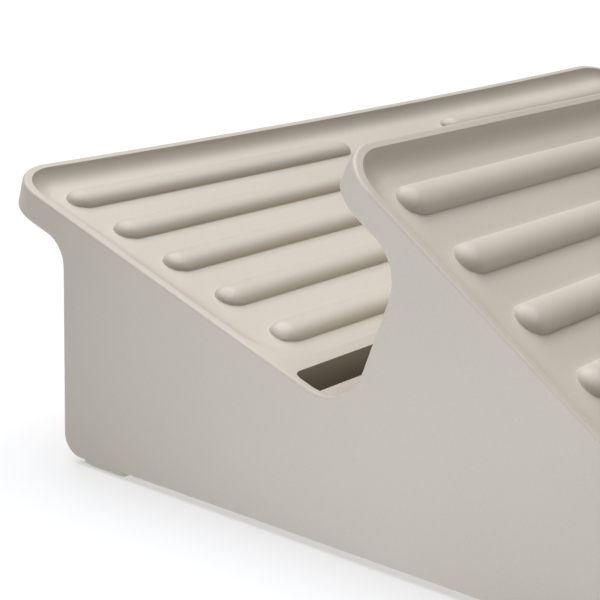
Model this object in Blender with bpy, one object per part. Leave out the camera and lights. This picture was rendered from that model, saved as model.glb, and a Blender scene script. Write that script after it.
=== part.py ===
"""Two-tier ribbed dish drying rack with a slide-out drip tray.

Units are metres, +Z up. +X points to the front, where the drip tray slides out, +Y to
the right-hand side seen from the front, and the two halves mirror each other about the
plane Y = 0. The origin is at the middle of the footprint, on the surface that the rack
stands on.

The side outline is drawn in "design" coordinates: x = 0 at the foot of the back wall
and z = 0 at the lower edge of the side walls. place() carries them to the world.
Each tier also has its own frame: s runs down the slope from the tier's top edge,
n stands off the rim plane, and the rim plane is n = 0.
"""

import math

import bmesh
import bpy
from mathutils import Matrix, Vector

MM = 0.001

# Overall shell
WIDTH = 414 * MM
WALL = 2.8 * MM
RIM_BAND = 3.2 * MM
GAP = 0.3 * MM
FRONT_X = 281 * MM
BACK_LEAN = math.radians(3)
BOTTOM_RADIUS = 8 * MM
LIP_CORNER_RADIUS = 20 * MM
TOP_EDGE_RADIUS = 0.8 * MM

# Valleys and the upright walls that rise out of them
TROUGH_RADIUS = 17.5 * MM
RISER_LEAN = math.radians(21.5)
RISER_FOOT = (131.6 * MM, 44.9 * MM)
NOSE_HEIGHT = 62 * MM
NOSE_WIDTH = 8 * MM
NOSE_RADIUS = 3.5 * MM
NOSE_LEAN = math.radians(15)

# Ribbed decks, in each tier's own frame
SLOT_START = 144.3 * MM
SLOT_END = 155.8 * MM
RECESS_END = 140 * MM
RECESS_DEPTH = 5 * MM
RECESS_CORNER = 20 * MM
DECK_CORNER = 1 * MM
DECK_LAND = 0.4 * MM
COVE_TOP = 8 * MM
COVE_SIDE = 4.5 * MM
COVE_END = 2 * MM
DECK_THICKNESS = 2.4 * MM
RIB_COUNT = 5
FIRST_RIB = 22.9 * MM
RIB_PITCH = 25.7 * MM
RIB_HALF_WIDTH = 6.3 * MM
RIB_HEIGHT = 4 * MM
RIB_SINK = 0.5 * MM
RIB_ROOT = 1.2 * MM
RIB_MARGIN = 14.5 * MM
RIB_LENGTH = 156 * MM

# Feet and their rubber pads
FOOT_HEIGHT = 2 * MM
FOOT_LENGTH = 21 * MM
FOOT_DEPTH = 20 * MM
FOOT_CHAMFER = 1.3 * MM
FOOT_TOP = 2.5 * MM
FOOT_INSET = 0.05 * MM
REAR_FOOT_X = 21 * MM
FRONT_FOOT_X = 259 * MM
PAD_RADIUS = 7 * MM
PAD_THICKNESS = 1.5 * MM
PAD_PROUD = 0.4 * MM

# Drip tray and its runners
TRAY_BOTTOM = 3.1 * MM
TRAY_HEIGHT = 19 * MM
TRAY_BACK_X = 12 * MM
TRAY_SIDE = 6.4 * MM
TRAY_WALL = 2.2 * MM
TRAY_CORNER = 10 * MM
TRAY_INNER_CORNER = 2 * MM
TRAY_PANEL = 8 * MM
MOUTH_BOTTOM = 2.4 * MM
MOUTH_TOP = 26.6 * MM
MOUTH_CLEARANCE = 0.6 * MM
SCOOP_HALF_WIDTH = 36 * MM
SCOOP_DEPTH = 9 * MM
SCOOP_SETBACK = 12 * MM
RUNNER_BACK_X = 34 * MM
RUNNER_FRONT_X = 246 * MM
RUNNER_THICKNESS = 2 * MM
RUNNER_LEAF = 11 * MM
RUNNER_LEG = 11 * MM

# Ledges and webs under the decks
LEDGE_WIDTH = 5 * MM
LEDGE_THICKNESS = 2.2 * MM
LEDGE_START = 12 * MM
LEDGE_END = 136 * MM
WEB_THICKNESS = 3 * MM
WEB_BOTTOM = 30 * MM
REAR_WEB_X = (7 * MM, 106 * MM)
FRONT_WEB_X = (155 * MM, 234 * MM)

# How far cutters and joined solids reach past the faces they meet
REACH = 5 * MM
DEEP_REACH = 13 * MM
TALL_REACH = 40 * MM
OVERLAP = 0.5 * MM

BASE_Z = FOOT_HEIGHT + PAD_PROUD
CURVE_STEP = math.radians(15)

STONE = (0.62, 0.57, 0.50, 1.0)
TRAY_STONE = (0.56, 0.51, 0.45, 1.0)
RUBBER_GREY = (0.10, 0.10, 0.10, 1.0)


class Tier:
    """One ribbed slope: where its top edge is, how steep it is, how deep its lip is."""

    def __init__(self, name, top_x, top_z, slope, lip, lip_radius, neck_radius):
        self.name = name
        self.top = Vector((top_x, 0, top_z))
        self.slope = slope
        self.lip = lip
        self.lip_radius = lip_radius
        self.neck_radius = neck_radius
        self.down = Vector((math.cos(slope), 0, -math.sin(slope)))
        self.normal = Vector((math.sin(slope), 0, math.cos(slope)))

    def point(self, s, n=0.0):
        """Design (x, z) of a point s down the slope and n off the rim plane."""
        p = self.top + self.down * s + self.normal * n
        return p.x, p.z


REAR = Tier("rear", -27.8 * MM, 101.0 * MM, math.radians(19.4), 10.9 * MM, 5 * MM, 11 * MM)
FRONT = Tier("front", 124.6 * MM, 126.0 * MM, math.radians(35.7), 9.7 * MM, 4.5 * MM, 15 * MM)
TIERS = (REAR, FRONT)


# ---------------------------------------------------------------- plane geometry


def meet(p, p_angle, q, q_angle):
    """Where the line through p at p_angle meets the line through q at q_angle."""
    dp = (math.cos(p_angle), math.sin(p_angle))
    dq = (math.cos(q_angle), math.sin(q_angle))
    cross = dp[0] * dq[1] - dp[1] * dq[0]
    t = ((q[0] - p[0]) * dq[1] - (q[1] - p[1]) * dq[0]) / cross
    return p[0] + dp[0] * t, p[1] + dp[1] * t


def rounded(corners, step=CURVE_STEP):
    """Closed outline through corners of (x, y, radius), each rounded by its own arc."""
    outline = []
    for i, (x, y, radius) in enumerate(corners):
        here = Vector((x, y))
        before = (Vector(corners[i - 1][:2]) - here).normalized()
        after = (Vector(corners[(i + 1) % len(corners)][:2]) - here).normalized()
        if radius == 0:
            outline.append((x, y))
            continue
        half = before.angle(after) / 2
        centre = here + (before + after).normalized() * radius / math.sin(half)
        start = here + before * radius / math.tan(half) - centre
        turn = math.pi - 2 * half
        side = 1 if start.y * before.x - start.x * before.y > 0 else -1
        count = max(2, math.ceil(turn / step - 0.01))
        for k in range(count + 1):
            angle = side * turn * k / count
            outline.append(tuple(centre + Matrix.Rotation(angle, 2) @ start))
    return outline


def inset(corners, distance):
    """The same outline (anticlockwise) moved in by distance, radii kept concentric."""
    lines = []
    for i, (x, y, _) in enumerate(corners):
        nx, ny, _ = corners[(i + 1) % len(corners)]
        angle = math.atan2(ny - y, nx - x)
        lines.append(((x - math.sin(angle) * distance, y + math.cos(angle) * distance), angle))
    moved = []
    for i, (_, _, radius) in enumerate(corners):
        x, y = meet(*lines[i - 1], *lines[i])
        turn = lines[i][1] - lines[i - 1][1]
        convex = math.sin(turn) > 0
        moved.append((x, y, max(0.0, radius - distance) if convex else radius + distance))
    return moved


# ---------------------------------------------------------------- Blender helpers


def collection(name):
    made = bpy.data.collections.new(name)
    bpy.context.scene.collection.children.link(made)
    return made


def material(name, colour, roughness):
    made = bpy.data.materials.new(name)
    made.use_nodes = True
    shader = made.node_tree.nodes["Principled BSDF"]
    shader.inputs["Base Color"].default_value = colour
    shader.inputs["Roughness"].default_value = roughness
    shader.inputs["Metallic"].default_value = 0.0
    return made


def mesh_object(name, bm, group, look=None):
    """Make an object of a bmesh, faces pointing out, in the given collection."""
    bmesh.ops.recalc_face_normals(bm, faces=bm.faces)
    if bm.calc_volume(signed=True) < 0:
        bmesh.ops.reverse_faces(bm, faces=bm.faces)
    mesh = bpy.data.meshes.new(name)
    bm.to_mesh(mesh)
    bm.free()
    made = bpy.data.objects.new(name, mesh)
    group.objects.link(made)
    if look:
        mesh.materials.append(look)
    return made


def prism(name, outline, low, high, group, look=None):
    """A flat outline in local XY, extruded from low to high along local Z."""
    curve = bpy.data.curves.new(name, "CURVE")
    curve.dimensions = "2D"
    curve.fill_mode = "BOTH"
    curve.extrude = (high - low) / 2
    spline = curve.splines.new("POLY")
    spline.points.add(len(outline) - 1)
    for point, (x, y) in zip(spline.points, outline):
        point.co = (x, y, 0, 1)
    spline.use_cyclic_u = True
    drawn = bpy.data.objects.new(name, curve)
    group.objects.link(drawn)
    bpy.context.view_layer.update()
    evaluated = drawn.evaluated_get(bpy.context.evaluated_depsgraph_get())
    mesh = bpy.data.meshes.new_from_object(evaluated)
    bpy.data.objects.remove(drawn)
    bpy.data.curves.remove(curve)
    bm = bmesh.new()
    bm.from_mesh(mesh)
    bpy.data.meshes.remove(mesh)
    bmesh.ops.remove_doubles(bm, verts=bm.verts, dist=0.00001)
    bmesh.ops.translate(bm, verts=bm.verts, vec=(0, 0, (low + high) / 2))
    return mesh_object(name, bm, group, look)


def side_prism(name, outline, low, high, group, look=None):
    """A flat outline in local XZ, reaching from low to high along local Y."""
    made = prism(name, outline, -high, -low, group, look)
    made.data.transform(Matrix.Rotation(math.radians(90), 4, "X"))
    return made


def place(thing, matrix=None):
    """Put an object modelled in design coordinates into the world."""
    thing.matrix_world = Matrix.Translation((-MIDDLE_X, 0, BASE_Z)) @ (matrix or Matrix())
    return thing


def tier_matrix(tier):
    """Turns local (s, y, n) into design coordinates."""
    return Matrix.Translation(tier.top) @ Matrix.Rotation(tier.slope, 4, "Y")


def boolean(thing, other, operation="DIFFERENCE"):
    step = thing.modifiers.new(other.name, "BOOLEAN")
    step.operation = operation
    step.solver = "EXACT"
    step.object = other
    other.hide_render = True
    other.display_type = "WIRE"


# ---------------------------------------------------------------- outer shell


def shell_corners():
    """The side outline's corners, anticlockwise, as (x, z, radius)."""
    back_angle = math.pi / 2 - BACK_LEAN
    riser_angle = math.pi / 2 - RISER_LEAN
    rear_top = REAR.point(0)
    rear_under = REAR.point(0, -REAR.lip)
    rear_neck = meet(rear_under, -REAR.slope, (0, 0), back_angle)
    front_top = FRONT.point(0)
    front_under = FRONT.point(0, -FRONT.lip)
    front_neck = meet(front_under, -FRONT.slope, RISER_FOOT, riser_angle)
    first_valley = meet(rear_top, -REAR.slope, RISER_FOOT, riser_angle)
    nose_x = FRONT_X - NOSE_HEIGHT * math.tan(BACK_LEAN)
    nose_back = (nose_x - NOSE_WIDTH, NOSE_HEIGHT)
    last_valley = meet(front_top, -FRONT.slope, nose_back, math.pi / 2 - NOSE_LEAN)
    return [
        (0, 0, BOTTOM_RADIUS),
        (FRONT_X, 0, BOTTOM_RADIUS),
        (nose_x, NOSE_HEIGHT, NOSE_RADIUS),
        (*nose_back, NOSE_RADIUS),
        (*last_valley, TROUGH_RADIUS),
        (*front_top, TOP_EDGE_RADIUS),
        (*front_under, FRONT.lip_radius),
        (*front_neck, FRONT.neck_radius),
        (*first_valley, TROUGH_RADIUS),
        (*rear_top, TOP_EDGE_RADIUS),
        (*rear_under, REAR.lip_radius),
        (*rear_neck, REAR.neck_radius),
    ]


def underside_outline():
    """The opening in the shell's underside, leaving a narrow sill at the back and front."""
    back = BOTTOM_RADIUS + WALL
    front = FRONT_X - BOTTOM_RADIUS - WALL
    above = WALL + REACH
    return [(back, -REACH), (front, -REACH), (front, above), (back, above)]


def opening_outline(edge, far, top_radius):
    """Deck opening in (s, y): rounded at the top of the slope, square at the valley."""
    half = WIDTH / 2 - edge
    return rounded([
        (edge, -half, top_radius),
        (far, -half, 0),
        (far, half, 0),
        (edge, half, top_radius),
    ])


def lip_corner_outline(side, depth=0.0):
    """What is cut off a lip corner to round it, in (s, y), moved in by depth."""
    lead = 0.05 * MM
    edge = WIDTH / 2 - depth
    r = LIP_CORNER_RADIUS - depth
    steps = 8
    arc = [(-REACH, side * (edge - r - 10 * lead)), (depth - lead, side * (edge - r - 10 * lead))]
    for k in range(1, steps + 1):
        a = math.radians(90) * k / steps
        arc.append((depth + r - r * math.cos(a), side * (edge - r + r * math.sin(a))))
    return arc + [
        (depth + r, side * (WIDTH / 2 + REACH)),
        (-REACH, side * (WIDTH / 2 + REACH)),
    ]


def foot_outline():
    """A foot seen from the side: chamfered at its lower ends."""
    half = FOOT_LENGTH / 2
    c = FOOT_CHAMFER
    return [
        (-half, FOOT_TOP),
        (-half, -FOOT_HEIGHT + c),
        (-half + c, -FOOT_HEIGHT),
        (half - c, -FOOT_HEIGHT),
        (half, -FOOT_HEIGHT + c),
        (half, FOOT_TOP),
    ]


def recess_depth(s):
    """How far the ribbed floor lies below the rim plane: deep at the top, flush at the valley."""
    return RECESS_DEPTH * (RECESS_END - s) / (RECESS_END - RIM_BAND)


def ledge_outline():
    """The strip on each side wall that a deck rests on, in (s, n)."""
    first = -recess_depth(LEDGE_START) - DECK_THICKNESS - GAP
    last = -recess_depth(LEDGE_END) - DECK_THICKNESS - GAP
    return [
        (LEDGE_START, first - LEDGE_THICKNESS),
        (LEDGE_END, last - LEDGE_THICKNESS),
        (LEDGE_END, last),
        (LEDGE_START, first),
    ]


def make_shell(parts, cutters, look):
    half = WIDTH / 2
    inner = half - WALL
    shell = place(side_prism("outer_shell", rounded(shell_corners()), -half, half, parts, look))
    hollow = rounded(inset(shell_corners(), WALL))
    cavity = place(side_prism("cavity", hollow, -inner, inner, cutters))
    for tier in TIERS:
        for side in (-1, 1):
            outline = lip_corner_outline(side, WALL)
            corner = prism(f"{tier.name}_inner_corner", outline, -DEEP_REACH, REACH, cutters)
            boolean(cavity, place(corner, tier_matrix(tier)))
    boolean(shell, cavity)
    boolean(shell, place(side_prism("underside", underside_outline(), -inner, inner, cutters)))

    for tier in TIERS:
        window = opening_outline(RIM_BAND, SLOT_END, LIP_CORNER_RADIUS - RIM_BAND)
        floor = RECESS_DEPTH + DECK_THICKNESS + GAP
        opening = prism(f"{tier.name}_opening", window, -floor, DEEP_REACH, cutters)
        boolean(shell, place(opening, tier_matrix(tier)))
        for side in (-1, 1):
            outline = lip_corner_outline(side)
            corner = prism(f"{tier.name}_corner", outline, -DEEP_REACH, REACH, cutters)
            boolean(shell, place(corner, tier_matrix(tier)))
            low, high = sorted((side * (inner + OVERLAP), side * (inner - LEDGE_WIDTH)))
            ledge = side_prism(f"{tier.name}_ledge", ledge_outline(), low, high, cutters)
            boolean(shell, place(ledge, tier_matrix(tier)), "UNION")

    mouth = [
        (FRONT_X - DEEP_REACH, MOUTH_BOTTOM),
        (FRONT_X + REACH, MOUTH_BOTTOM),
        (FRONT_X + REACH, MOUTH_TOP),
        (FRONT_X - DEEP_REACH, MOUTH_TOP),
    ]
    edge = half - TRAY_SIDE + MOUTH_CLEARANCE
    boolean(shell, place(side_prism("tray_mouth", mouth, -edge, edge, cutters)))

    for x in (REAR_FOOT_X, FRONT_FOOT_X):
        for side in (-1, 1):
            low, high = sorted((side * (half - FOOT_INSET), side * (half - FOOT_DEPTH)))
            foot = side_prism("foot", foot_outline(), low, high, cutters)
            boolean(shell, place(foot, Matrix.Translation((x, 0, 0))), "UNION")
            pocket = disc("pad_pocket", PAD_RADIUS + GAP, PAD_THICKNESS, cutters)
            boolean(shell, place(pocket, pad_spot(x, side, GAP - PAD_PROUD)))
    return shell


# ---------------------------------------------------------------- ribbed decks


def ring(top, bottom, side, top_radius, bottom_radius):
    """A rounded rectangle in (s, y) with the same number of points for any radii."""
    half = WIDTH / 2 - side
    return rounded([
        (top, -half, top_radius),
        (bottom, -half, bottom_radius),
        (bottom, half, bottom_radius),
        (top, half, top_radius),
    ])


def deck_rings():
    """The deck's upper surface as rings of (s, y, n), from its edge in to its floor."""
    edge = RIM_BAND + GAP
    brink = edge + DECK_LAND
    top_radius = LIP_CORNER_RADIUS - edge
    border = ring(edge, SLOT_START, edge, top_radius, DECK_CORNER)
    rings = [[(s, y, 0) for s, y in border]]
    steps = 4
    for k in range(steps + 1):
        t = k / steps
        sink = 1 - (1 - t) ** 2
        outline = ring(
            brink + COVE_TOP * t,
            RECESS_END - COVE_END * t,
            brink + COVE_SIDE * t,
            top_radius - 6 * MM * t,
            RECESS_CORNER - 3 * MM * t,
        )
        rings.append([(s, y, -recess_depth(s) * sink) for s, y in outline])
    return rings


def deck_panel(name, group, look):
    """The dished panel: its rings lofted together, closed by a flat floor, then thickened."""
    bm = bmesh.new()
    loops = [[bm.verts.new(p) for p in points] for points in deck_rings()]
    for outer, inner in zip(loops, loops[1:]):
        for i in range(len(outer)):
            bm.faces.new((outer[i - 1], outer[i], inner[i], inner[i - 1]))
    bm.faces.new(loops[-1])
    made = bmesh.ops.extrude_face_region(bm, geom=bm.faces[:])
    copies = [item for item in made["geom"] if isinstance(item, bmesh.types.BMVert)]
    bmesh.ops.translate(bm, verts=copies, vec=(0, 0, -DECK_THICKNESS))
    return mesh_object(name, bm, group, look)


def add_rib(bm, s, y):
    """A half-round bar along Y with domed ends, its foot sunk a little into the floor."""
    made = bmesh.ops.create_uvsphere(bm, u_segments=16, v_segments=7, radius=RIB_HALF_WIDTH)
    verts = made["verts"]
    bmesh.ops.rotate(bm, verts=verts, matrix=Matrix.Rotation(math.radians(90), 3, "X"))
    straight = RIB_LENGTH / 2 - RIB_HALF_WIDTH
    for vert in verts:
        vert.co.z *= (RIB_HEIGHT + RIB_SINK) / RIB_HALF_WIDTH
        vert.co.y += math.copysign(straight, vert.co.y)
    rise = math.atan(RECESS_DEPTH / (RECESS_END - RIM_BAND))
    bmesh.ops.rotate(bm, verts=verts, matrix=Matrix.Rotation(-rise, 3, "Y"))
    bmesh.ops.translate(bm, verts=verts, vec=(s, y, -recess_depth(s) - RIB_SINK))


def rib_columns(name, group):
    """All the bars of one deck, cut off along a plane just under the deck's floor."""
    bm = bmesh.new()
    for side in (-1, 1):
        for i in range(RIB_COUNT):
            y = side * (WIDTH / 2 - RIB_MARGIN - RIB_LENGTH / 2)
            add_rib(bm, FIRST_RIB + i * RIB_PITCH, y)
    floor = Vector((RECESS_DEPTH, 0, RIM_BAND - RECESS_END))
    cut = bmesh.ops.bisect_plane(
        bm,
        geom=bm.verts[:] + bm.edges[:] + bm.faces[:],
        plane_co=(RECESS_END, 0, -RIB_ROOT),
        plane_no=floor.normalized(),
        clear_outer=True,
    )
    rim = [item for item in cut["geom_cut"] if isinstance(item, bmesh.types.BMEdge)]
    bmesh.ops.holes_fill(bm, edges=rim)
    return mesh_object(name, bm, group)


def make_deck(tier, parts, cutters, look):
    """A tier's dished panel with two columns of ribs and a plain strip between them."""
    deck = place(deck_panel(f"{tier.name}_deck", parts, look), tier_matrix(tier))
    bars = place(rib_columns(f"{tier.name}_ribs", cutters), tier_matrix(tier))
    boolean(deck, bars, "UNION")
    return deck


def make_web(tier, reach_x, parts, look):
    """The upright web that carries a deck along its plain middle strip."""
    start_x, end_x = reach_x
    under = DECK_THICKNESS + GAP

    def deck_underside(x):
        s = (x - tier.top.x) / math.cos(tier.slope)
        for _ in range(4):
            n = -recess_depth(s) - under
            s = (x - tier.top.x - n * math.sin(tier.slope)) / math.cos(tier.slope)
        return tier.point(s, -recess_depth(s) - under)[1]

    outline = [
        (start_x, WEB_BOTTOM),
        (end_x, WEB_BOTTOM),
        (end_x, deck_underside(end_x)),
        (start_x, deck_underside(start_x)),
    ]
    half = WEB_THICKNESS / 2
    return place(side_prism(f"{tier.name}_centre_web", outline, -half, half, parts, look))


# ---------------------------------------------------------------- feet, runners, tray


def disc(name, radius, thickness, group, look=None):
    """A short upright cylinder standing on local z = 0."""
    bm = bmesh.new()
    bmesh.ops.create_cone(bm, cap_ends=True, segments=24, radius1=radius, radius2=radius,
                          depth=thickness)
    bmesh.ops.translate(bm, verts=bm.verts, vec=(0, 0, thickness / 2))
    return mesh_object(name, bm, group, look)


def pad_spot(x, side, above):
    """A spot under the foot at x, the given height above the foot's underside."""
    return Matrix.Translation((x, side * (WIDTH / 2 - FOOT_DEPTH / 2), above - FOOT_HEIGHT))


def make_pads(parts, look):
    for end, x in (("rear", REAR_FOOT_X), ("front", FRONT_FOOT_X)):
        for hand, side in (("left", -1), ("right", 1)):
            pad = disc(f"{end}_{hand}_foot_pad", PAD_RADIUS, PAD_THICKNESS, parts, look)
            place(pad, pad_spot(x, side, -PAD_PROUD))


def make_runners(parts, look):
    """The angle strips inside the side walls that the drip tray slides on."""
    top = TRAY_BOTTOM - GAP
    t = RUNNER_THICKNESS
    for hand, side in (("left", -1), ("right", 1)):
        wall = WIDTH / 2 - WALL - GAP
        angle = [
            (wall, top - t),
            (wall, top - t + RUNNER_LEG),
            (wall - t, top - t + RUNNER_LEG),
            (wall - t, top),
            (wall - RUNNER_LEAF, top),
            (wall - RUNNER_LEAF, top - t),
        ]
        outline = [(z, side * y) for y, z in angle]
        runner = prism(f"{hand}_tray_runner", outline, RUNNER_BACK_X, RUNNER_FRONT_X, parts, look)
        turn = Matrix(((0, 0, 1, 0), (0, 1, 0, 0), (1, 0, 0, 0), (0, 0, 0, 1)))
        runner.data.transform(turn)
        runner.data.flip_normals()
        place(runner)


def make_tray(parts, cutters, look):
    """The drip tray, its front panel flush with the shell's front wall."""
    half = WIDTH / 2 - TRAY_SIDE
    front = FRONT_X - TRAY_PANEL
    top = TRAY_BOTTOM + TRAY_HEIGHT
    plan = [
        (TRAY_BACK_X, -half, TRAY_CORNER),
        (front, -half, 0),
        (front, half, 0),
        (TRAY_BACK_X, half, TRAY_CORNER),
    ]
    tray = prism("drip_tray", rounded(plan), TRAY_BOTTOM, top, parts, look)
    joint = bpy.data.objects.new("tray_slide_origin", None)
    parts.objects.link(joint)
    joint.location = (TRAY_BACK_X - MIDDLE_X, 0, TRAY_BOTTOM + BASE_Z)
    place(tray)

    panel_top = MOUTH_TOP - MOUTH_CLEARANCE
    face = [
        (front - OVERLAP, TRAY_BOTTOM),
        (FRONT_X + REACH, TRAY_BOTTOM),
        (FRONT_X + REACH, panel_top),
        (front - OVERLAP, panel_top),
    ]
    boolean(tray, place(side_prism("tray_panel", face, -half, half, cutters)), "UNION")
    envelope = rounded(shell_corners())
    flush = side_prism("tray_envelope", envelope, -WIDTH, WIDTH, cutters)
    boolean(tray, place(flush), "INTERSECT")

    hollow = inset([(x, y, max(r, TRAY_INNER_CORNER)) for x, y, r in plan], TRAY_WALL)
    floor = TRAY_BOTTOM + TRAY_WALL
    inside = prism("tray_hollow", rounded(hollow), floor, floor + TALL_REACH, cutters)
    boolean(tray, place(inside))

    scoop = disc("finger_scoop", 1, 1, cutters)
    squash = Matrix.Diagonal((SCOOP_DEPTH, SCOOP_HALF_WIDTH, TALL_REACH, 1))
    lying = Matrix.Rotation(math.radians(90), 4, "Y") @ squash
    scoop.data.transform(lying)
    place(scoop, Matrix.Translation((front - SCOOP_SETBACK, 0, panel_top)))
    boolean(tray, scoop)

    bpy.context.view_layer.update()
    tray.parent = joint
    tray.matrix_parent_inverse = Matrix.Translation(joint.location).inverted()
    return tray


def outline_middle():
    """Half way between the outline's backmost and foremost points."""
    xs = [x for x, _ in rounded(shell_corners())]
    return (min(xs) + max(xs)) / 2


MIDDLE_X = outline_middle()


def main():
    for old in list(bpy.data.objects):
        bpy.data.objects.remove(old, do_unlink=True)
    parts = collection("dish_drying_rack")
    cutters = collection("cutters")
    stone = material("stone_plastic", STONE, 0.5)
    tray_plastic = material("tray_plastic", TRAY_STONE, 0.5)
    rubber = material("pad_rubber", RUBBER_GREY, 0.8)

    make_shell(parts, cutters, stone)
    for tier in TIERS:
        make_deck(tier, parts, cutters, stone)
    make_web(REAR, REAR_WEB_X, parts, stone)
    make_web(FRONT, FRONT_WEB_X, parts, stone)
    make_runners(parts, stone)
    make_pads(parts, rubber)
    make_tray(parts, cutters, tray_plastic)


main()
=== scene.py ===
"""Looks of the two-tier dish drying rack: fine meshes, moulded-plastic materials, studio.

Lengths are metres. Shapes are drawn in design coordinates: x = 0 at the foot of the back
wall and z = 0 at the side walls' lower edge. Each tier has its own frame: s down the slope
from the top edge, v in from the nearer side wall, n off the rim plane.
"""

import math

import bmesh
import bpy
import numpy as np
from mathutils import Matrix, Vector


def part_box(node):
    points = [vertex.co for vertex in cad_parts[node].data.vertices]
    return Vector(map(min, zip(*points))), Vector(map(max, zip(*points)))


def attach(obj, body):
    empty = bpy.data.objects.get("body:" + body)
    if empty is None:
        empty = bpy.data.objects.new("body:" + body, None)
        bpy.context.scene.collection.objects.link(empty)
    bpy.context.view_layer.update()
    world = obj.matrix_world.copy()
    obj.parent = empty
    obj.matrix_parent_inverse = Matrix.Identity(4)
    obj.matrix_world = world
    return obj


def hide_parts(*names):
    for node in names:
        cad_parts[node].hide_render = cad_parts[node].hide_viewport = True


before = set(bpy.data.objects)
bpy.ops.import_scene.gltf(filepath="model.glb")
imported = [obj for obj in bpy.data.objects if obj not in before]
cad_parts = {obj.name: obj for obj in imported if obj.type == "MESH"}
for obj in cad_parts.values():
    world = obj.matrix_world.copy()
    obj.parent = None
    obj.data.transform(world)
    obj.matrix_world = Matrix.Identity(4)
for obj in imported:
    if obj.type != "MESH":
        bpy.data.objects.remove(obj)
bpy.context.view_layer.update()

MM = 0.001

# Meshing: margin for comparing lengths, merging distances, least grid spacings, angles
TINY = 0.01 * MM
WELD = 0.004 * MM
CAD_WELD = 0.002 * MM
SHELL_SPACING = 0.05 * MM
DECK_SPACING = 0.15 * MM
ARC_STEP = math.radians(6)
SHARP_ANGLE = math.radians(32)
DECK_SHARP_ANGLE = math.radians(42)
FLAT_ANGLE = math.radians(1)

# Shell
FRONT_X = 281 * MM
FOOT_HEIGHT = 2 * MM
WALL = 2.8 * MM
RIM_BAND = 3.2 * MM
EDGE = 1.1 * MM
CORNER = 20 * MM
CORNER_BLEND = 8 * MM
DECK_CORNER_CORE = 3 * MM
BACK_LEAN = math.radians(3)
BOTTOM_RADIUS = 8 * MM
FRONT_ROUNDING = BOTTOM_RADIUS * (math.tan(BACK_LEAN) + 1 / math.cos(BACK_LEAN) - 1)
SILL = 2.8 * MM
TROUGH_RADIUS = 17.5 * MM
RISER_LEAN = math.radians(21.5)
RISER_FOOT = (131.6 * MM, 44.9 * MM)
NOSE_HEIGHT = 62 * MM
NOSE_WIDTH = 8 * MM
NOSE_RADIUS = 3.5 * MM
NOSE_LEAN = math.radians(15)
MOUTH_TOP = 26.6 * MM
MOUTH_BOTTOM = 2.4 * MM
MOUTH_SIDE = 5.8 * MM
MOUTH_SILL_X = FRONT_X - BOTTOM_RADIUS - SILL - TINY
MOUTH_SILL_TOP = 3 * MM

# The shell's box places the design coordinates in the world
SHELL_LOW, SHELL_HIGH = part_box("outer_shell")
HALF = SHELL_HIGH.y
ORIGIN = Vector((SHELL_HIGH.x - FRONT_X + FRONT_ROUNDING, 0, SHELL_LOW.z + FOOT_HEIGHT))

# Grid lines of the shell: on its front wall, across it, and round its small edges and lips
FRONT_WALL_LINE = 42 * MM
SHELL_LINES = (40 * MM, 80 * MM, 120 * MM, 165 * MM)
EDGE_STEPS = 5
LIP_STEPS = 9
UNDERSIDE_SPAN = 100 * MM

# Grid lines of a deck: down its cove and at its run-out in millimetres, round a rib in degrees
COVE_LINES = (0, 0.5, 1, 1.6, 2.4, 3.3, 4.3, 5.4, 6.6, 7.9, 8.8)
RUNOUT_LINES = (0, 0.6, 1.3, 2.1, 3)
RIB_ANGLES = (15, 30, 44, 57, 69, 77)
RIB_OUTER_LINE = 8 * MM

# Decks
SLOT_START = 144.3 * MM
SLOT_END = 155.8 * MM
RECESS_END = 140 * MM
RECESS_DEPTH = 5 * MM
RECESS_RUNOUT = 150 * MM
RECESS_CORNER = 21 * MM
RECESS_BLEND = (10 * MM, 18 * MM)
FILLET = 10 * MM
RIB_COUNT = 5
FIRST_RIB = 22.9 * MM
RIB_PITCH = 25.7 * MM
RIB_RADIUS = 6.1 * MM
RIB_HEIGHT = 4 * MM
RIB_FOOT_START = 6.04 * MM
RIB_FOOT_END = 6.3 * MM
RIB_REACH = 10 * MM
RIB_END = 20.5 * MM
RIB_STRAIGHT = 144 * MM
DECK_THICKNESS = 2.2 * MM
SAG_REACH = 80 * MM
SLOT_CORNER = 3 * MM
DRIP_EDGE = 13 * MM

# Camera: place from the design coordinates' origin, turn in degrees, lens in millimetres
CAMERA_PLACE = (412.4 * MM, -552.7 * MM, 205.8 * MM)
CAMERA_TURN = (74.41, 0.12, 40.8)
CAMERA_LENS = 93.56
CAMERA_SENSOR = 36

# Floor and lamps; places and aims in metres
FLOOR_SIZE = 6
FLOOR_GREY = 0.44
FLOOR_GLOW = 0.5
KEY_LIGHT = 4.1
KEY_COLOUR = (0.94, 0.955, 1)
KEY_FROM = (-0.2, 0.14, 1)
KEY_SPREAD = math.radians(74)
SIDE_LIGHT = 7.5
SIDE_COLOUR = (0.74, 0.81, 1)
SIDE_FROM = (0.01, -0.85, 0.04)
SIDE_AIM = (0.025, -0.2, 0.05)
SIDE_CONE = math.radians(32)
SIDE_BLEND = 0.85
SIDE_SIZE = 0.06

# Webs
WEB_BOTTOM = 30 * MM
WEB_SETBACK = 5 * MM

# Feet
FOOT_LENGTH = 21 * MM
FOOT_DEPTH = 20 * MM
FOOT_CHAMFER = 1.3 * MM
FOOT_INSET = 0.02 * MM
FOOT_TOP = 1.6 * MM
FOOT_CORNER = 1.6 * MM
FOOT_X = (21 * MM, 259 * MM)

# Edge roundings of the softened solids
TRAY_ROUNDING = 0.7 * MM
RUNNER_ROUNDING = 0.5 * MM
WEB_ROUNDING = 0.6 * MM
PAD_ROUNDING = 0.3 * MM
ROUNDING_STEPS = 3
ROUNDED_ANGLE = math.radians(35)

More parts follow.
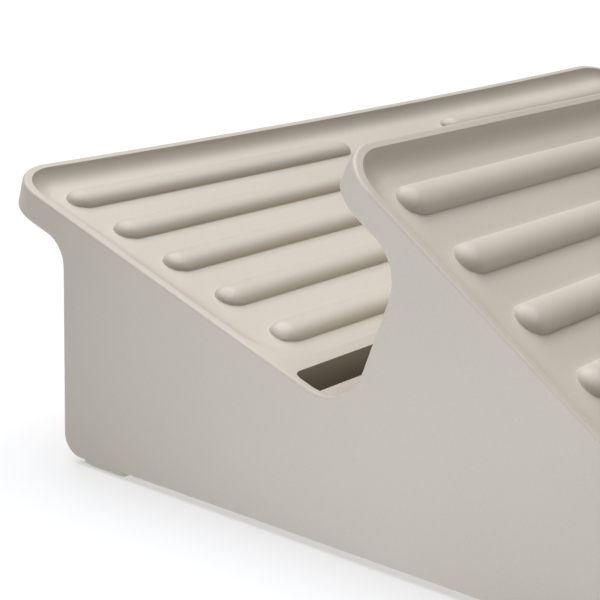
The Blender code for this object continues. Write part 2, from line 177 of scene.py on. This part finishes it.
# Materials: colour, roughness, moulding grains per metre
STONE = ((0.575, 0.52, 0.43), 0.45, 2600)
TRAY_STONE = ((0.565, 0.51, 0.42), 0.45, 2600)
RUBBER = ((0.06, 0.06, 0.06), 0.8, 1800)
GRAIN_DEPTH = 0.06 * MM
GRAIN_STRENGTH = 0.12
SPECK_SCALE = 1400
SPECK_STRENGTH = 0.07
FLOW_SCALE = 9
FLOW_SHADE = (0.965, 1.03)
FLOW_GLOSS = (0.05, 0.07)


class Tier:
    """One ribbed slope: its top edge, its steepness, its lip and its lip's sag."""

    def __init__(self, name, top_x, top_z, slope, lip, lip_radius, neck_radius, sag):
        self.name = name
        self.top = (top_x, top_z)
        self.slope = slope
        self.lip = lip
        self.lip_radius = lip_radius
        self.neck_radius = neck_radius
        self.sag = sag

    def point(self, s, n):
        """Design x and z of a point s down the slope and n off the rim plane."""
        x = self.top[0] + s * math.cos(self.slope) + n * math.sin(self.slope)
        z = self.top[1] - s * math.sin(self.slope) + n * math.cos(self.slope)
        return x, z

    def slope_distance(self, x, z):
        """How far down the slope a design point lies."""
        return (x - self.top[0]) * math.cos(self.slope) - (z - self.top[1]) * math.sin(self.slope)


REAR = Tier(
    "rear",
    top_x=-27.8 * MM,
    top_z=101 * MM,
    slope=math.radians(19.4),
    lip=10.9 * MM,
    lip_radius=5.1 * MM,
    neck_radius=11 * MM,
    sag=2 * MM,
)
FRONT = Tier(
    "front",
    top_x=124.6 * MM,
    top_z=126 * MM,
    slope=math.radians(35.7),
    lip=9.7 * MM,
    lip_radius=4.5 * MM,
    neck_radius=15 * MM,
    sag=0,
)
TIERS = (REAR, FRONT)


# ---------------------------------------------------------------- lines and arcs


def meet(p, p_angle, q, q_angle):
    """Where the line through p at p_angle meets the line through q at q_angle."""
    dp = (math.cos(p_angle), math.sin(p_angle))
    dq = (math.cos(q_angle), math.sin(q_angle))
    cross = dp[0] * dq[1] - dp[1] * dq[0]
    t = ((q[0] - p[0]) * dq[1] - (q[1] - p[1]) * dq[0]) / cross
    return p[0] + dp[0] * t, p[1] + dp[1] * t


def corner_arc(before, corner, after, radius):
    """Points and outward normals of the arc rounding a path's corner, the solid on its left."""
    corner = Vector(corner)
    back = (Vector(before) - corner).normalized()
    on = (Vector(after) - corner).normalized()
    half = back.angle(on) / 2
    centre = corner + (back + on).normalized() * radius / math.sin(half)
    start = corner + back * radius / math.tan(half) - centre
    turn = math.pi - 2 * half
    side = 1 if start.y * back.x - start.x * back.y > 0 else -1
    count = max(2, math.ceil(turn / ARC_STEP))
    arc = []
    for k in range(count + 1):
        a = side * turn * k / count
        spoke = Vector((
            start.x * math.cos(a) - start.y * math.sin(a),
            start.x * math.sin(a) + start.y * math.cos(a),
        ))
        arc.append((centre + spoke, spoke.normalized() * side))
    return arc


def between(low, high, count):
    """Evenly spaced values strictly between low and high."""
    return [low + (high - low) * k / count for k in range(1, count)]


def merged(values, closest=SHELL_SPACING):
    """Sorted values with near-equal neighbours dropped."""
    kept = []
    for value in sorted(values):
        if not kept or value - kept[-1] > closest:
            kept.append(value)
    return kept


def rounding_lines(radius, count):
    """Distances from an edge at which its quarter-round has points at equal angles."""
    return [radius * (1 - math.cos(math.pi / 2 * k / count)) for k in range(count + 1)]


def corner_lines():
    """Distances from a lip's edge that divide its rounded corner into equal angles."""
    return [CORNER * (1 - math.tan(math.radians(a))) for a in range(0, 46, 5)]


# ---------------------------------------------------------------- rounding rules


def edge_drop(distance, radius):
    """How far a surface has fallen at a distance from an edge rounded by this radius."""
    inside = np.clip(radius - distance, 0, radius)
    return radius - np.sqrt(np.maximum(radius**2 - inside**2, 0))


def ramp(value, low, high):
    """0 at low, 1 at high, straight between."""
    return np.clip((value - low) / (high - low), 0, 1)


def squeeze(a, b, weight):
    """Carry squares |a|, |b| <= m about the origin onto circles of radius m, by a weight."""
    far = np.maximum(np.abs(a), np.abs(b))
    reach = np.maximum(np.hypot(a, b), 1e-9)
    ratio = 1 + (far / reach - 1) * weight
    return a * ratio, b * ratio


def round_lip_corner(s, v, core):
    """Round the square corner at a lip's end, leaving the middle of the square alone."""
    a = np.clip(CORNER - s, 0, None)
    b = np.clip(CORNER - v, 0, None)
    far = np.maximum(a, b)
    weight = ramp(far, core, CORNER_BLEND) if core else 1.0
    new_a, new_b = squeeze(a, b, weight)
    return s + a - new_a, v + b - new_b


def round_recess_corner(s, v):
    """Round the recess's lower corners, where it runs out."""
    a = np.clip(s - (RECESS_END - RECESS_CORNER), 0, None)
    b = np.clip(RIM_BAND + RECESS_CORNER - v, 0, None)
    far = np.maximum(a, b)
    inner = ramp(far, *RECESS_BLEND)
    outer = 1 - ramp(far, RECESS_CORNER, RECESS_CORNER + RIM_BAND - WALL)
    new_a, new_b = squeeze(a, b, inner * outer)
    return s - a + new_a, v + b - new_b


def round_rib_ends(s, v):
    """Round both ends of every rib."""
    for i in range(RIB_COUNT):
        a = s - (FIRST_RIB + i * RIB_PITCH)
        for end, way in ((RIB_END, -1), (RIB_END + RIB_STRAIGHT, 1)):
            b = (v - end) * way
            far = np.maximum(np.abs(a), np.abs(b))
            weight = (1 - ramp(far, RIB_FOOT_END, RIB_REACH)) * (b > 0)
            new_a, new_b = squeeze(a, b, weight)
            s = s - a + new_a
            v = v + (new_b - b) * way
            a = new_a
    return s, v


def sag(tier, s, y):
    """How far a tier's lip hangs below its corners at s down the slope."""
    along = 1 - (y / HALF) ** 2
    left = np.clip(1 - s / SAG_REACH, 0, 1)
    return tier.sag * along * left**2 * (3 - 2 * left)


# ---------------------------------------------------------------- mesh helpers


def new_piece(name, points, faces, body, sharp_angle=SHARP_ANGLE):
    """A smooth-shaded object from world points and faces, riding on a body."""
    mesh = bpy.data.meshes.new(name)
    mesh.from_pydata([tuple(p) for p in points], [], faces)
    bm = bmesh.new()
    bm.from_mesh(mesh)
    bmesh.ops.remove_doubles(bm, verts=bm.verts, dist=WELD)
    loose = [vert for vert in bm.verts if not vert.link_faces]
    bmesh.ops.delete(bm, geom=loose, context="VERTS")
    for face in bm.faces:
        face.smooth = True
    for edge in bm.edges:
        if len(edge.link_faces) != 2 or edge.calc_face_angle() > sharp_angle:
            edge.smooth = False
    bm.to_mesh(mesh)
    bm.free()
    made = bpy.data.objects.new(name, mesh)
    bpy.context.scene.collection.objects.link(made)
    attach(made, body)
    return made


def walled_piece(name, outer, inner, faces, body, sharp_angle=SHARP_ANGLE):
    """A closed wall: an outer skin, its inner copy, and a strip along every open edge."""
    shift = len(outer)
    edges = {(a, b) for face in faces for a, b in zip(face, face[1:] + face[:1])}
    strips = [(b, a, a + shift, b + shift) for a, b in edges if (b, a) not in edges]
    lining = [tuple(k + shift for k in reversed(face)) for face in faces]
    piece = new_piece(name, [*outer, *inner], faces + lining + sorted(strips), body, sharp_angle)
    even = piece.modifiers.new("even_shading", "WEIGHTED_NORMAL")
    even.keep_sharp = True
    return piece


def grid_faces(rows, columns, keep, closed):
    """Quads of a point grid, facing out for rows that run round a solid on their left."""
    faces = []
    for i in range(rows if closed else rows - 1):
        k = (i + 1) % rows
        for j in range(columns - 1):
            if keep(i, k, j):
                first, second = i * columns + j, k * columns + j
                faces.append((first, first + 1, second + 1, second))
    return faces


# ---------------------------------------------------------------- shell


class Row:
    """One line of the shell's skin, running across the rack's width."""

    def __init__(self, kind, tier=None, s=0.0, point=None, normal=None, window=False):
        self.kind = kind
        self.tier = tier
        self.s = s
        self.point = point
        self.normal = normal
        self.window = window

    def at(self, v):
        """Design x and z of the skin's point that starts v in from the side wall, and v."""
        if self.kind == "plain":
            drop = float(edge_drop(v, EDGE))
            return self.point.x - self.normal.x * drop, self.point.y - self.normal.y * drop, v
        if self.kind == "over":
            n = -float(edge_drop(min(self.s, v), EDGE))
        else:
            back = float(edge_drop(self.s, self.tier.lip_radius))
            side = float(edge_drop(v, EDGE))
            n = (back**4 + side**4) ** 0.25 - self.tier.lip
        s, v = round_lip_corner(self.s, v, 0)
        x, z = self.tier.point(float(s), n)
        return x, z, float(v)

    def inside(self, v):
        """The matching point of the wall's inner skin."""
        v = max(v, WALL)
        if self.kind == "plain":
            x, z = self.point - self.normal * WALL
            below_mouth = self.point.x > MOUTH_SILL_X and self.point.y < MOUTH_SILL_TOP
            if below_mouth and v > MOUTH_SIDE - TINY:
                z = min(z, MOUTH_BOTTOM)
            return x, z, v
        if self.kind == "over":
            s, n = max(self.s, WALL), -WALL
        else:
            radius = self.tier.lip_radius
            short = max(radius - self.s, 0) * WALL / radius
            s = self.s + short
            n = (radius - float(edge_drop(self.s, radius))) * (WALL - radius) / radius
            n += radius - self.tier.lip
        s, v = round_lip_corner(s, v, 0)
        x, z = self.tier.point(float(s), n)
        return x, z, float(v)


def lip_rows(tier):
    """Rows over a lip, from its corner's end to its edge, and back under it."""
    round_under = [tier.lip_radius - r for r in rounding_lines(tier.lip_radius, LIP_STEPS)]
    reach = [tier.lip_radius * (1 - math.sin(math.radians(a))) for a in range(0, 91, 10)]
    lines = merged(rounding_lines(EDGE, EDGE_STEPS) + reach + round_under + corner_lines() + [WALL])
    over = [Row("over", tier, s, window=s > WALL - TINY) for s in reversed(lines)]
    under = [Row("under", tier, s) for s in lines]
    return over + under


def plain_rows(arc, tier=None):
    """Rows on given points and normals; with a tier, those in its window are marked."""
    rows = []
    for point, normal in arc:
        window = bool(tier) and tier.slope_distance(*point) < SLOT_END + TINY
        rows.append(Row("plain", point=Vector(point), normal=Vector(normal), window=window))
    return rows


def slope_rows(tier):
    """Rows on the rim plane, from the slot up to the lip."""
    normal = (math.sin(tier.slope), math.cos(tier.slope))
    lines = [SLOT_START, *reversed(between(CORNER, SLOT_START, 8))]
    return plain_rows([(tier.point(s, 0), normal) for s in lines], tier)


def with_slot_edge(tier, arc):
    """An arc with one more point, exactly on the drain slot's far edge."""
    done = []
    for point, normal in arc:
        s = tier.slope_distance(*point)
        if done and s < SLOT_END < tier.slope_distance(*done[-1][0]):
            before, before_normal = done[-1]
            start = tier.slope_distance(*before)
            t = (SLOT_END - start) / (s - start)
            done.append((before.lerp(point, t), before_normal.lerp(normal, t).normalized()))
        done.append((point, normal))
    return done


def front_wall_rows():
    """Rows on the front wall at the tray mouth's top edge and half way up the wall."""
    normal = (math.cos(BACK_LEAN), math.sin(BACK_LEAN))
    heights = (MOUTH_TOP, FRONT_WALL_LINE)
    return plain_rows([((FRONT_X - z * math.tan(BACK_LEAN), z), normal) for z in heights])


def shell_rows():
    """The skin's rows once round the side outline, anticlockwise from the back's foot."""
    back_angle = math.pi / 2 - BACK_LEAN
    riser_angle = math.pi / 2 - RISER_LEAN
    rear_under = REAR.point(0, -REAR.lip)
    rear_neck = meet(rear_under, -REAR.slope, (0, 0), back_angle)
    front_under = FRONT.point(0, -FRONT.lip)
    front_neck = meet(front_under, -FRONT.slope, RISER_FOOT, riser_angle)
    valley = meet(REAR.top, -REAR.slope, RISER_FOOT, riser_angle)
    nose = (FRONT_X - NOSE_HEIGHT * math.tan(BACK_LEAN), NOSE_HEIGHT)
    nose_back = (nose[0] - NOSE_WIDTH, NOSE_HEIGHT)
    last_valley = meet(FRONT.top, -FRONT.slope, nose_back, math.pi / 2 - NOSE_LEAN)
    sill_back = (BOTTOM_RADIUS + SILL, 0)
    sill_front = (FRONT_X - BOTTOM_RADIUS - SILL, 0)

    rows = plain_rows(corner_arc(rear_neck, (0, 0), (FRONT_X, 0), BOTTOM_RADIUS))
    rows += plain_rows([(sill_back, (0, -1)), (sill_front, (0, -1))])
    rows += plain_rows(corner_arc((0, 0), (FRONT_X, 0), nose, BOTTOM_RADIUS))
    rows += front_wall_rows()
    rows += plain_rows(corner_arc((FRONT_X, 0), nose, nose_back, NOSE_RADIUS))
    rows += plain_rows(corner_arc(nose, nose_back, last_valley, NOSE_RADIUS))
    trough = corner_arc(nose_back, last_valley, FRONT.top, TROUGH_RADIUS)
    rows += plain_rows(with_slot_edge(FRONT, trough), FRONT)
    rows += slope_rows(FRONT) + lip_rows(FRONT)
    rows += plain_rows(corner_arc(front_under, front_neck, valley, FRONT.neck_radius))
    trough = corner_arc(front_neck, valley, REAR.top, TROUGH_RADIUS)
    rows += plain_rows(with_slot_edge(REAR, trough), REAR)
    rows += slope_rows(REAR) + lip_rows(REAR)
    rows += plain_rows(corner_arc(rear_under, rear_neck, (0, 0), REAR.neck_radius))
    return rows


def lip_strips(rows, columns, j):
    """Faces down the rounded ends of both lips, between the rows over and under them."""
    faces = []
    for tier in TIERS:
        over = [i for i, row in enumerate(rows) if row.tier is tier and row.kind == "over"][::-1]
        under = [i for i, row in enumerate(rows) if row.tier is tier and row.kind == "under"]
        for a, b, c, d in zip(over, over[1:], under[1:], under):
            faces.append(tuple(i * columns + j for i in (a, d, c, b)))
    return faces


def spans_underside(a, b):
    """Whether two rows stand either side of the opening in the shell's underside."""
    if a.kind != "plain" or b.kind != "plain":
        return False
    low = max(a.point.y, b.point.y) < TINY
    return low and b.point.x - a.point.x > UNDERSIDE_SPAN


def beside_mouth(row):
    """Whether a row crosses the drip tray's mouth in the front wall."""
    if row.kind != "plain" or row.point.x < FRONT_X - BOTTOM_RADIUS:
        return False
    return MOUTH_BOTTOM - TINY < row.point.y < MOUTH_TOP + TINY


def make_shell(material):
    """The whole skin as one grid wrapped round the side outline, closed at both sides."""
    rows = shell_rows()
    across = [WALL, MOUTH_SIDE, *SHELL_LINES, HALF]
    near = merged(rounding_lines(EDGE, EDGE_STEPS) + corner_lines() + across)
    columns = [(v, -1) for v in near] + [(v, 1) for v in reversed(near[:-1])]
    wide = len(columns)

    def skin(place):
        points = []
        for row in rows:
            for start, side in columns:
                x, z, v = place(row, start)
                y = side * (HALF - v)
                if row.kind != "plain":
                    z -= float(sag(row.tier, row.s, y))
                points.append(Vector((x, y, z)) + ORIGIN)
        return points

    def keep(i, k, j):
        inner = max(columns[j][0], columns[j + 1][0])
        a, b = rows[i], rows[k]
        if a.window and b.window or spans_underside(a, b):
            return inner < WALL + TINY
        if beside_mouth(a) and beside_mouth(b):
            return inner < MOUTH_SIDE + TINY
        return True

    faces = grid_faces(len(rows), wide, keep, closed=True)
    flat = [i for i, row in enumerate(rows) if row.kind == "plain" or row.s > CORNER - TINY]
    faces.append(tuple(i * wide for i in flat))
    faces.append(tuple(i * wide + wide - 1 for i in reversed(flat)))
    faces += lip_strips(rows, wide, 0)
    faces += [tuple(reversed(face)) for face in lip_strips(rows, wide, wide - 1)]
    shell = walled_piece("shell_skin", skin(Row.at), skin(Row.inside), faces, "rack")
    shell.data.materials.append(material)
    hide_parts("outer_shell")
    return shell


# ---------------------------------------------------------------- ribbed decks


def rib_profile(distance):
    """A rib's height over the floor at a distance from its centre line: an arch on a small fillet."""
    arch = RIB_HEIGHT * np.sqrt(np.clip(1 - (distance / RIB_RADIUS) ** 2, 0, 1))
    foot_height = RIB_HEIGHT * math.sqrt(1 - (RIB_FOOT_START / RIB_RADIUS) ** 2)
    fillet = foot_height * (1 - ramp(distance, RIB_FOOT_START, RIB_FOOT_END)) ** 2
    return np.where(distance < RIB_FOOT_START, arch, fillet)


def deck_surface(s, v, wall=0.0):
    """Height of a deck, or of its hollow ribs' underside, before its corners are rounded."""
    depth = RECESS_DEPTH * (1 - s / RECESS_RUNOUT)
    inside = np.minimum(np.minimum(s, v) - RIM_BAND, RECESS_END - s)
    run = np.sqrt(np.maximum(2 * FILLET * depth - depth**2, 1e-12))
    up = np.clip(run - inside, 0, run)
    floor = -depth + FILLET - np.sqrt(FILLET**2 - up**2)
    n = np.where(inside > 0, np.minimum(floor, 0), 0.0)
    for i in range(RIB_COUNT):
        a = np.abs(s - (FIRST_RIB + i * RIB_PITCH))
        b = np.maximum(RIB_END - v, v - (RIB_END + RIB_STRAIGHT))
        n = n + rib_profile(np.maximum(np.maximum(a, b), 0) * RIB_RADIUS / (RIB_RADIUS - wall))
    return n - wall


def rib_lines():
    """Distances from a rib's centre line at which the grid has a line."""
    arch = [RIB_RADIUS * math.sin(math.radians(a)) for a in RIB_ANGLES]
    foot = [RIB_FOOT_START + (RIB_FOOT_END - RIB_FOOT_START) * k / 4 for k in range(3)]
    return [0, *arch, *foot, RIB_OUTER_LINE, RIB_REACH]


def make_deck(tier, material):
    """The ribbed panel as one height field, its grid drawn round every rib and corner."""
    fillet = [RIM_BAND + k * MM for k in COVE_LINES]
    slope = [WALL, *fillet, SLOT_START]
    slope += [RECESS_END - k * MM for k in RUNOUT_LINES]
    for i in range(RIB_COUNT):
        centre = FIRST_RIB + i * RIB_PITCH
        slope += [centre + side * d for d in rib_lines() for side in (-1, 1)]
    slope = np.array([s for s in merged(slope, DECK_SPACING) if s < SLOT_START + TINY])
    near = [WALL, *fillet, *between(RIB_END + RIB_STRAIGHT + RIB_REACH, HALF, 4), HALF]
    near += [RIB_END - d for d in rib_lines()] + [RIB_END + RIB_STRAIGHT + d for d in rib_lines()]
    near += between(RIB_END, RIB_END + RIB_STRAIGHT, 6)
    near = np.array(merged(near, DECK_SPACING))

    s, v = np.meshgrid(slope, near, indexing="ij")
    top = deck_surface(s, v)
    under = deck_surface(s, v, DECK_THICKNESS)
    s, v = round_rib_ends(s, v)
    s, v = round_recess_corner(s, v)
    s, v = round_lip_corner(s, v, DECK_CORNER_CORE)
    s[-1] += edge_drop(v[-1] - WALL, SLOT_CORNER)

    # The lower end turns down at the drain slot
    s, v = np.vstack([s, s[-1:], s[-1:]]), np.vstack([v, v[-1:], v[-1:]])
    end = np.full_like(top[-1:], -DRIP_EDGE)
    top = np.vstack([top, end / 2, end])
    under = np.vstack([under, end / 2, end])
    inner_s = s.copy()
    inner_s[-3:] -= DECK_THICKNESS

    def skin(s, n):
        s, n = (np.hstack([part, part[:, -2::-1]]) for part in (s, n))
        y = np.hstack([v - HALF, (HALF - v)[:, -2::-1]])
        x, z = tier.point(s, n)
        return np.stack([x, y, z - sag(tier, s, y)], axis=-1).reshape(-1, 3) + np.array(ORIGIN)

    rows, columns = s.shape[0], s.shape[1] * 2 - 1
    faces = [tuple(reversed(face)) for face in grid_faces(rows, columns, lambda i, k, j: True, False)]
    name = f"{tier.name}_ribbed_deck"
    deck = walled_piece(name, skin(s, top), skin(inner_s, under), faces, "rack", DECK_SHARP_ANGLE)
    deck.data.materials.append(material)
    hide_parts(f"{tier.name}_deck")
    return deck


# ---------------------------------------------------------------- feet and softened CAD solids


def rounded_rectangle(x0, x1, y0, y1, z, radius, steps=5):
    """Points round a rectangle with rounded corners, anticlockwise from above."""
    corners = (
        (x1 - radius, y0 + radius, -90),
        (x1 - radius, y1 - radius, 0),
        (x0 + radius, y1 - radius, 90),
        (x0 + radius, y0 + radius, 180),
    )
    points = []
    for x, y, start in corners:
        for k in range(steps + 1):
            a = math.radians(start + 90 * k / steps)
            points.append(Vector((x + radius * math.cos(a), y + radius * math.sin(a), z)))
    return points


def loft(rings):
    """Points and faces of a solid through closed rings, from the lowest ring up."""
    count = len(rings[0])
    points = [point for ring in rings for point in ring]
    faces = [tuple(reversed(range(count)))]
    for level in range(len(rings) - 1):
        for k in range(count):
            a, b = level * count + k, level * count + (k + 1) % count
            faces.append((a, b, b + count, a + count))
    faces.append(tuple(range((len(rings) - 1) * count, len(rings) * count)))
    return points, faces


def make_feet(material):
    """Four low chamfered feet moulded under the side walls."""
    points, faces = [], []
    levels = ((-FOOT_HEIGHT, FOOT_CHAMFER), (FOOT_CHAMFER - FOOT_HEIGHT, 0), (FOOT_TOP, 0))
    for middle in FOOT_X:
        for side in (-1, 1):
            y0, y1 = sorted((side * (HALF - FOOT_INSET), side * (HALF - FOOT_DEPTH)))
            rings = []
            for z, inset in levels:
                x0, x1 = middle - FOOT_LENGTH / 2 + inset, middle + FOOT_LENGTH / 2 - inset
                ring = rounded_rectangle(x0, x1, y0 + inset, y1 - inset, z, FOOT_CORNER)
                rings.append([point + ORIGIN for point in ring])
            more, sides = loft(rings)
            faces += [tuple(k + len(points) for k in face) for face in sides]
            points += more
    feet = new_piece("moulded_feet", points, faces, "rack")
    feet.data.materials.append(material)
    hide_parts("outer_shell")


def clear_deck(tier, mesh):
    """Lower a web's top edge under the deck's sag, and end it short of the drip edge."""
    end = max(vert.co.x for vert in mesh.vertices)
    for vert in mesh.vertices:
        x, z = vert.co.x - ORIGIN.x, vert.co.z - ORIGIN.z
        if z > WEB_BOTTOM + TINY:
            vert.co.z -= float(sag(tier, tier.slope_distance(x, z), 0))
        if vert.co.x > end - TINY:
            vert.co.x -= WEB_SETBACK


def soften(node, width, body, material, tier=None):
    """Stand in for a CAD solid with its flat faces merged and its edges rounded."""
    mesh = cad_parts[node].data.copy()
    if tier:
        clear_deck(tier, mesh)
    bm = bmesh.new()
    bm.from_mesh(mesh)
    bmesh.ops.remove_doubles(bm, verts=bm.verts, dist=CAD_WELD)
    bmesh.ops.dissolve_limit(bm, angle_limit=FLAT_ANGLE, verts=bm.verts, edges=bm.edges)
    for face in bm.faces:
        face.smooth = True
    bm.to_mesh(mesh)
    bm.free()
    mesh.materials.clear()
    mesh.materials.append(material)
    piece = bpy.data.objects.new(f"{node}_moulded", mesh)
    bpy.context.scene.collection.objects.link(piece)
    edges = piece.modifiers.new("rounded_edges", "BEVEL")
    edges.width = width
    edges.segments = ROUNDING_STEPS
    edges.limit_method = "ANGLE"
    edges.angle_limit = ROUNDED_ANGLE
    edges.miter_outer = "MITER_ARC"
    even = piece.modifiers.new("even_shading", "WEIGHTED_NORMAL")
    even.keep_sharp = True
    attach(piece, body)
    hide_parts(node)


# ---------------------------------------------------------------- materials


def shader_of(material):
    return material.node_tree.nodes["Principled BSDF"]


def moulded_plastic(name, colour, roughness, grain):
    """Fine spark-eroded moulding texture with faint flow variation in colour and gloss."""
    material = bpy.data.materials.new(name)
    material.use_nodes = True
    nodes = material.node_tree.nodes
    links = material.node_tree.links
    shader = shader_of(material)
    where = nodes.new("ShaderNodeTexCoord")

    flow = nodes.new("ShaderNodeTexNoise")
    flow.inputs["Scale"].default_value = FLOW_SCALE
    flow.inputs["Detail"].default_value = 3
    links.new(where.outputs["Object"], flow.inputs["Vector"])
    tint = nodes.new("ShaderNodeValToRGB")
    tint.color_ramp.elements[0].position = 0.3
    tint.color_ramp.elements[0].color = (*[c * FLOW_SHADE[0] for c in colour], 1)
    tint.color_ramp.elements[1].position = 0.7
    tint.color_ramp.elements[1].color = (*[min(1, c * FLOW_SHADE[1]) for c in colour], 1)
    links.new(flow.outputs["Fac"], tint.inputs["Fac"])

    speck = nodes.new("ShaderNodeTexNoise")
    speck.inputs["Scale"].default_value = SPECK_SCALE
    speck.inputs["Detail"].default_value = 2
    links.new(where.outputs["Object"], speck.inputs["Vector"])
    speckle = nodes.new("ShaderNodeMix")
    speckle.data_type = "RGBA"
    speckle.blend_type = "OVERLAY"
    speckle.inputs["Factor"].default_value = SPECK_STRENGTH
    links.new(tint.outputs["Color"], speckle.inputs["A"])
    links.new(speck.outputs["Fac"], speckle.inputs["B"])
    links.new(speckle.outputs["Result"], shader.inputs["Base Color"])

    gloss = nodes.new("ShaderNodeMapRange")
    gloss.inputs["To Min"].default_value = roughness - FLOW_GLOSS[0]
    gloss.inputs["To Max"].default_value = roughness + FLOW_GLOSS[1]
    links.new(flow.outputs["Fac"], gloss.inputs["Value"])
    links.new(gloss.outputs["Result"], shader.inputs["Roughness"])

    pits = nodes.new("ShaderNodeTexVoronoi")
    pits.inputs["Scale"].default_value = grain
    links.new(where.outputs["Object"], pits.inputs["Vector"])
    texture = nodes.new("ShaderNodeBump")
    texture.inputs["Strength"].default_value = GRAIN_STRENGTH
    texture.inputs["Distance"].default_value = GRAIN_DEPTH
    links.new(pits.outputs["Distance"], texture.inputs["Height"])
    links.new(texture.outputs["Normal"], shader.inputs["Normal"])
    shader.inputs["Specular IOR Level"].default_value = 0.5
    return material


def floor_material():
    material = bpy.data.materials.new("studio_floor")
    material.use_nodes = True
    shader = shader_of(material)
    shader.inputs["Base Color"].default_value = (FLOOR_GREY, FLOOR_GREY, FLOOR_GREY, 1)
    shader.inputs["Roughness"].default_value = 0.9
    shader.inputs["Emission Color"].default_value = (1, 1, 1, 1)
    shader.inputs["Emission Strength"].default_value = FLOOR_GLOW
    return material


# ---------------------------------------------------------------- studio


def make_floor():
    bm = bmesh.new()
    bmesh.ops.create_grid(bm, x_segments=1, y_segments=1, size=FLOOR_SIZE)
    mesh = bpy.data.meshes.new("studio_floor")
    bm.to_mesh(mesh)
    bm.free()
    floor = bpy.data.objects.new("studio_floor", mesh)
    bpy.context.scene.collection.objects.link(floor)
    mesh.materials.append(floor_material())


def add_light(name, kind, energy, place, aim, colour):
    """A lamp that lights the object and stays out of every view."""
    light = bpy.data.lights.new(name, kind)
    light.energy = energy
    light.color = colour
    lamp = bpy.data.objects.new(name, light)
    bpy.context.scene.collection.objects.link(lamp)
    lamp.location = place
    lamp.rotation_euler = (Vector(aim) - Vector(place)).to_track_quat("-Z", "Y").to_euler()
    lamp.visible_camera = False
    return light


def make_studio():
    """A white surround, a broad lamp above and behind, and a low one towards the left side."""
    make_floor()
    world = bpy.data.worlds.new("studio")
    world.use_nodes = True
    world.node_tree.nodes["Background"].inputs["Color"].default_value = (1, 1, 1, 1)
    world.cycles_visibility.diffuse = False
    world.cycles_visibility.glossy = False
    bpy.context.scene.world = world
    key = add_light("key", "SUN", KEY_LIGHT, KEY_FROM, (0, 0, 0), KEY_COLOUR)
    key.angle = KEY_SPREAD
    side = add_light("side", "SPOT", SIDE_LIGHT, SIDE_FROM, SIDE_AIM, SIDE_COLOUR)
    side.spot_size = SIDE_CONE
    side.spot_blend = SIDE_BLEND
    side.shadow_soft_size = SIDE_SIZE
    bpy.context.scene.view_settings.view_transform = "Standard"


def make_camera():
    camera = bpy.data.cameras.new("camera")
    camera.sensor_width = CAMERA_SENSOR
    camera.lens = CAMERA_LENS
    camera.clip_start = 0.01
    thing = bpy.data.objects.new("camera", camera)
    bpy.context.scene.collection.objects.link(thing)
    thing.location = Vector(CAMERA_PLACE) + ORIGIN
    thing.rotation_euler = [math.radians(turn) for turn in CAMERA_TURN]
    bpy.context.scene.camera = thing


# ---------------------------------------------------------------- the whole scene


def main():
    make_camera()
    make_studio()
    stone = moulded_plastic("stone_plastic", *STONE)
    tray_plastic = moulded_plastic("tray_plastic", *TRAY_STONE)
    rubber = moulded_plastic("pad_rubber", *RUBBER)
    make_shell(stone)
    for tier in TIERS:
        make_deck(tier, stone)
    make_feet(stone)
    soften("drip_tray", TRAY_ROUNDING, "tray", tray_plastic)
    for side in ("left", "right"):
        soften(f"{side}_tray_runner", RUNNER_ROUNDING, "rack", stone)
    for tier in TIERS:
        soften(f"{tier.name}_centre_web", WEB_ROUNDING, "rack", stone, tier)
        for side in ("left", "right"):
            soften(f"{tier.name}_{side}_foot_pad", PAD_ROUNDING, "rack", rubber)
    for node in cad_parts.values():
        node.data.materials.clear()
        node.data.materials.append(stone)


main()
